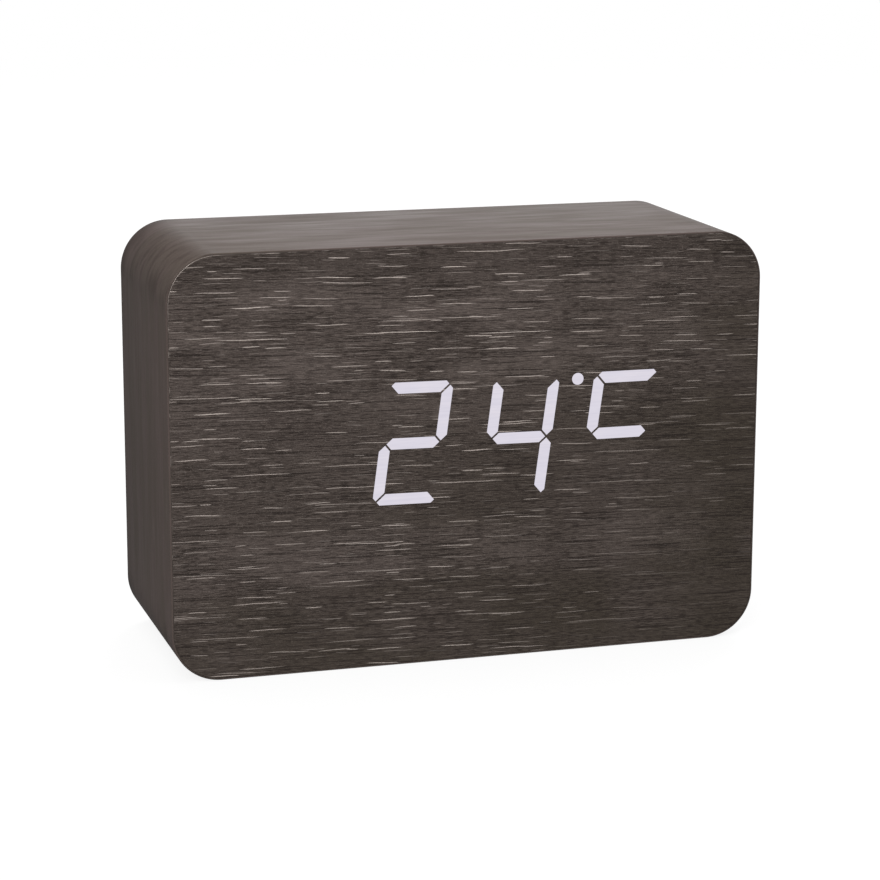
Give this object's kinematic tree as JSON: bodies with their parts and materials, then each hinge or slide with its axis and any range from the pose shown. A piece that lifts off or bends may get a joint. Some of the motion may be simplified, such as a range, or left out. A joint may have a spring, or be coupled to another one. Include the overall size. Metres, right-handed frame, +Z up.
{
  "type": "radio-controlled alarm clock",
  "caption": "Dark wood-look block clock with lit segment figures on its front; rear panel with press buttons, power socket and a hinged battery door.",
  "frame": {"origin": "middle of the underside of the case", "axes": "+X towards the viewer's right as the clock is read, the front faces -Y, +Z up"},
  "size_m": [0.144, 0.055, 0.1],
  "materials": {
    "wood_film_front": "satin film with a dark brown-grey wood print",
    "wood_film_wrap": "satin film with a dark brown-grey wood print",
    "lit_film": "film lit from behind, cool white",
    "fibre_board": "raw sawn wood-fibre board",
    "white_plastic": "moulded, matt",
    "clear_resin": "cast, milky",
    "circuit_board": "green solder mask",
    "light_chip": "yellow phosphor in a white body",
    "chip_plastic": "moulded, fine texture",
    "zinc_steel": "zinc plated",
    "black_steel": "blackened, satin",
    "ribbon_plastic": "flat ribbon, off-white",
    "panel_plastic": "black, fine spark-eroded grain",
    "button_plastic": "dark grey, satin",
    "plunger_plastic": "ivory, satin",
    "cell_wrap": "printed foil sleeve, plain colours",
    "nickel_steel": "nickel plated",
    "can_sleeve": "shrunk plastic sleeve",
    "sensor_rubber": "matt rubber boot",
    "ferrite": "sintered, dark grey",
    "copper_winding": "enamelled copper wire",
    "foam": "soft adhesive foam",
    "sensor_resin": "dipped resin bead",
    "lead_red": "plastic sleeve",
    "lead_grey": "plastic sleeve"
  },
  "bodies": {
    "clock": {"antenna_coil": "copper_winding", "antenna_former": "white_plastic", "antenna_holders": "white_plastic", "antenna_leads": "copper_winding", "battery_cell_a": "cell_wrap", "battery_cell_b": "cell_wrap", "battery_cell_c": "cell_wrap", "battery_leads": "lead_red", "board_screws": "zinc_steel", "buzzer": "chip_plastic", "capacitors": "can_sleeve", "case_frame": "fibre_board", "clock_crystal": "nickel_steel", "contact_plates": "nickel_steel", "contact_springs": "nickel_steel", "controller_chip": "chip_plastic", "corner_blocks": "fibre_board", "digit_reflector": "white_plastic", "display_driver": "chip_plastic", "display_ribbon": "ribbon_plastic", "display_screws": "zinc_steel", "ferrite_rod": "ferrite", "front_board": "fibre_board", "front_film": "wood_film_front", "led_board": "circuit_board", "led_chips": "light_chip", "lit_segments": "lit_film", "main_board": "circuit_board", "power_jack": "chip_plastic", "power_jack_pin": "nickel_steel", "rear_panel": "panel_plastic", "rear_screws": "black_steel", "receiver_board": "circuit_board", "receiver_chip": "chip_plastic", "receiver_leads": "lead_grey", "receiver_pad": "foam", "ribbon_sockets": "white_plastic", "segment_diffusers": "clear_resin", "sound_sensor": "sensor_rubber", "tact_switches": "chip_plastic", "temperature_sensor": "sensor_resin", "wrap_film": "wood_film_wrap"},
    "battery_door": {"battery_door": "panel_plastic"},
    "set_key": {"set_button": "button_plastic", "set_plunger": "plunger_plastic"},
    "alarm_key": {"alarm_button": "button_plastic", "alarm_plunger": "plunger_plastic"},
    "down_key": {"down_button": "button_plastic", "down_plunger": "plunger_plastic"},
    "up_key": {"up_button": "button_plastic", "up_plunger": "plunger_plastic"}
  },
  "joints": [
    {"name": "door_hinge", "type": "hinge", "parent": "clock", "child": "battery_door", "pos_m": [0, 0.0255, 0.01435], "axis": [-1, 0, 0], "range_deg": [0, 75]},
    {"name": "set_press", "type": "slide", "parent": "clock", "child": "set_key", "axis": [0, -1, 0], "range_m": [0, 0.0005], "stiffness_N_per_m": 1200},
    {"name": "alarm_press", "type": "slide", "parent": "clock", "child": "alarm_key", "axis": [0, -1, 0], "range_m": [0, 0.0005], "stiffness_N_per_m": 1200},
    {"name": "down_press", "type": "slide", "parent": "clock", "child": "down_key", "axis": [0, -1, 0], "range_m": [0, 0.0005], "stiffness_N_per_m": 1200},
    {"name": "up_press", "type": "slide", "parent": "clock", "child": "up_key", "axis": [0, -1, 0], "range_m": [0, 0.0005], "stiffness_N_per_m": 1200}
  ]
}
